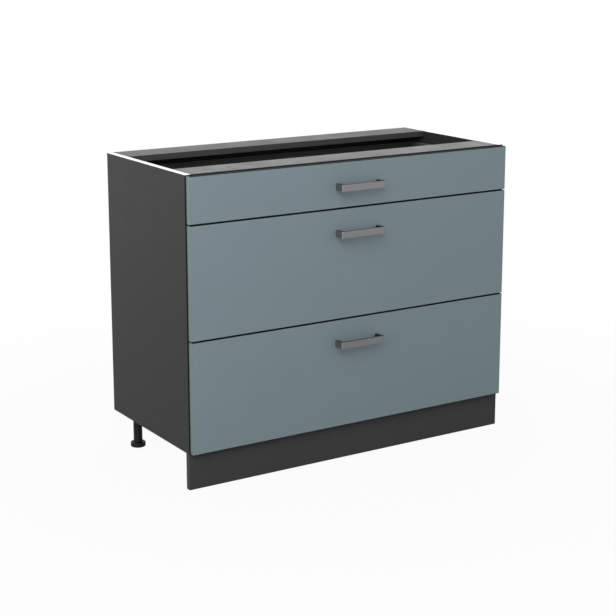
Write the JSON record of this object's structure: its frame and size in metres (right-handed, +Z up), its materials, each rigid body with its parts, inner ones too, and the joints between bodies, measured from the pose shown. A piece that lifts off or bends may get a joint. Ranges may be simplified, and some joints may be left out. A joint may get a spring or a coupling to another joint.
{
  "type": "base cabinet with drawers",
  "caption": "Kitchen base cabinet without worktop: open-topped board carcass on levelling feet, with a clipped plinth and full-extension drawers behind flat fronts with bow handles.",
  "frame": {"origin": "on the floor, in the middle of the width and of the overall depth, from the handles' front to the back edge", "axes": "+Z up, fronts face -Y, +X to the right of someone facing the fronts"},
  "size_m": [1, 0.492, 0.816],
  "materials": {
    "carcass_board": "anthracite melamine, fine matt grain",
    "back_board": "anthracite lacquered hardboard",
    "plinth_board": "anthracite melamine, matt",
    "front_board": "blue-grey lacquer laminate, matt",
    "drawer_board": "graphite melamine, matt",
    "white_edge": "white edge band",
    "handle_metal": "brushed, stainless look",
    "drawer_steel": "light grey powder coat",
    "rail_steel": "galvanised",
    "plated_steel": "zinc plated",
    "zinc": "die-cast",
    "black_plastic": "moulded, satin",
    "nylon": "natural nylon",
    "buffer": "clear soft pad",
    "beech": "raw beech"
  },
  "bodies": {
    "root": {"back_panel": "back_board", "bottom_panel": "carcass_board", "cabinet_rails_centre": "rail_steel", "cabinet_rails_lower": "rail_steel", "cabinet_rails_upper": "rail_steel", "cam_bolts": "plated_steel", "cam_housings": "zinc", "dowels": "beech", "edge_bands": "white_edge", "front_buffers": "buffer", "front_traverse": "carcass_board", "leg_columns": "black_plastic", "leg_sockets": "black_plastic", "rail_screws": "plated_steel", "rear_traverse": "carcass_board", "side_panel_left": "carcass_board", "side_panel_right": "carcass_board"},
    "plinth": {"plinth_board": "plinth_board", "plinth_clips": "black_plastic"},
    "foot_front_left": {"foot_front_left": "black_plastic"},
    "foot_front_right": {"foot_front_right": "black_plastic"},
    "foot_back_left": {"foot_back_left": "black_plastic"},
    "foot_back_right": {"foot_back_right": "black_plastic"},
    "drawer_upper": {"drawer_back_upper": "drawer_board", "drawer_base_upper": "drawer_board", "drawer_rails_upper": "rail_steel", "drawer_side_upper_left": "drawer_steel", "drawer_side_upper_right": "drawer_steel", "front_upper": "front_board", "handle_screws_upper": "plated_steel", "handle_upper": "handle_metal", "side_fittings_upper": "drawer_steel"},
    "middle_upper": {"middle_rails_upper": "rail_steel", "roller_cages_upper": "nylon"},
    "drawer_centre": {"drawer_back_centre": "drawer_board", "drawer_base_centre": "drawer_board", "drawer_rails_centre": "rail_steel", "drawer_side_centre_left": "drawer_steel", "drawer_side_centre_right": "drawer_steel", "front_centre": "front_board", "gallery_rails_centre": "drawer_steel", "handle_centre": "handle_metal", "handle_screws_centre": "plated_steel", "side_fittings_centre": "drawer_steel"},
    "middle_centre": {"middle_rails_centre": "rail_steel", "roller_cages_centre": "nylon"},
    "drawer_lower": {"drawer_back_lower": "drawer_board", "drawer_base_lower": "drawer_board", "drawer_rails_lower": "rail_steel", "drawer_side_lower_left": "drawer_steel", "drawer_side_lower_right": "drawer_steel", "front_lower": "front_board", "gallery_rails_lower": "drawer_steel", "handle_lower": "handle_metal", "handle_screws_lower": "plated_steel", "side_fittings_lower": "drawer_steel"},
    "middle_lower": {"middle_rails_lower": "rail_steel", "roller_cages_lower": "nylon"}
  },
  "joints": [
    {"name": "drawer_upper_slide", "type": "slide", "parent": "root", "child": "drawer_upper", "axis": [0, -1, 0], "range_m": [0, 0.4]},
    {"name": "middle_upper_slide", "type": "slide", "parent": "root", "child": "middle_upper", "axis": [0, -1, 0], "range_m": [0, 0.2]},
    {"name": "drawer_centre_slide", "type": "slide", "parent": "root", "child": "drawer_centre", "axis": [0, -1, 0], "range_m": [0, 0.4]},
    {"name": "middle_centre_slide", "type": "slide", "parent": "root", "child": "middle_centre", "axis": [0, -1, 0], "range_m": [0, 0.2]},
    {"name": "drawer_lower_slide", "type": "slide", "parent": "root", "child": "drawer_lower", "axis": [0, -1, 0], "range_m": [0, 0.4]},
    {"name": "middle_lower_slide", "type": "slide", "parent": "root", "child": "middle_lower", "axis": [0, -1, 0], "range_m": [0, 0.2]},
    {"name": "foot_front_left_screw", "type": "slide", "parent": "root", "child": "foot_front_left", "axis": [0, 0, -1], "range_m": [0, 0.02]},
    {"name": "foot_front_right_screw", "type": "slide", "parent": "root", "child": "foot_front_right", "axis": [0, 0, -1], "range_m": [0, 0.02]},
    {"name": "foot_back_left_screw", "type": "slide", "parent": "root", "child": "foot_back_left", "axis": [0, 0, -1], "range_m": [0, 0.02]},
    {"name": "foot_back_right_screw", "type": "slide", "parent": "root", "child": "foot_back_right", "axis": [0, 0, -1], "range_m": [0, 0.02]},
    {"name": "plinth_pull", "type": "slide", "parent": "root", "child": "plinth", "axis": [0, -1, 0], "range_m": [0, 0.06]}
  ],
  "couplings": [
    {"joint": "middle_upper_slide", "follows": "drawer_upper_slide", "ratio": 0.5},
    {"joint": "middle_centre_slide", "follows": "drawer_centre_slide", "ratio": 0.5},
    {"joint": "middle_lower_slide", "follows": "drawer_lower_slide", "ratio": 0.5}
  ]
}
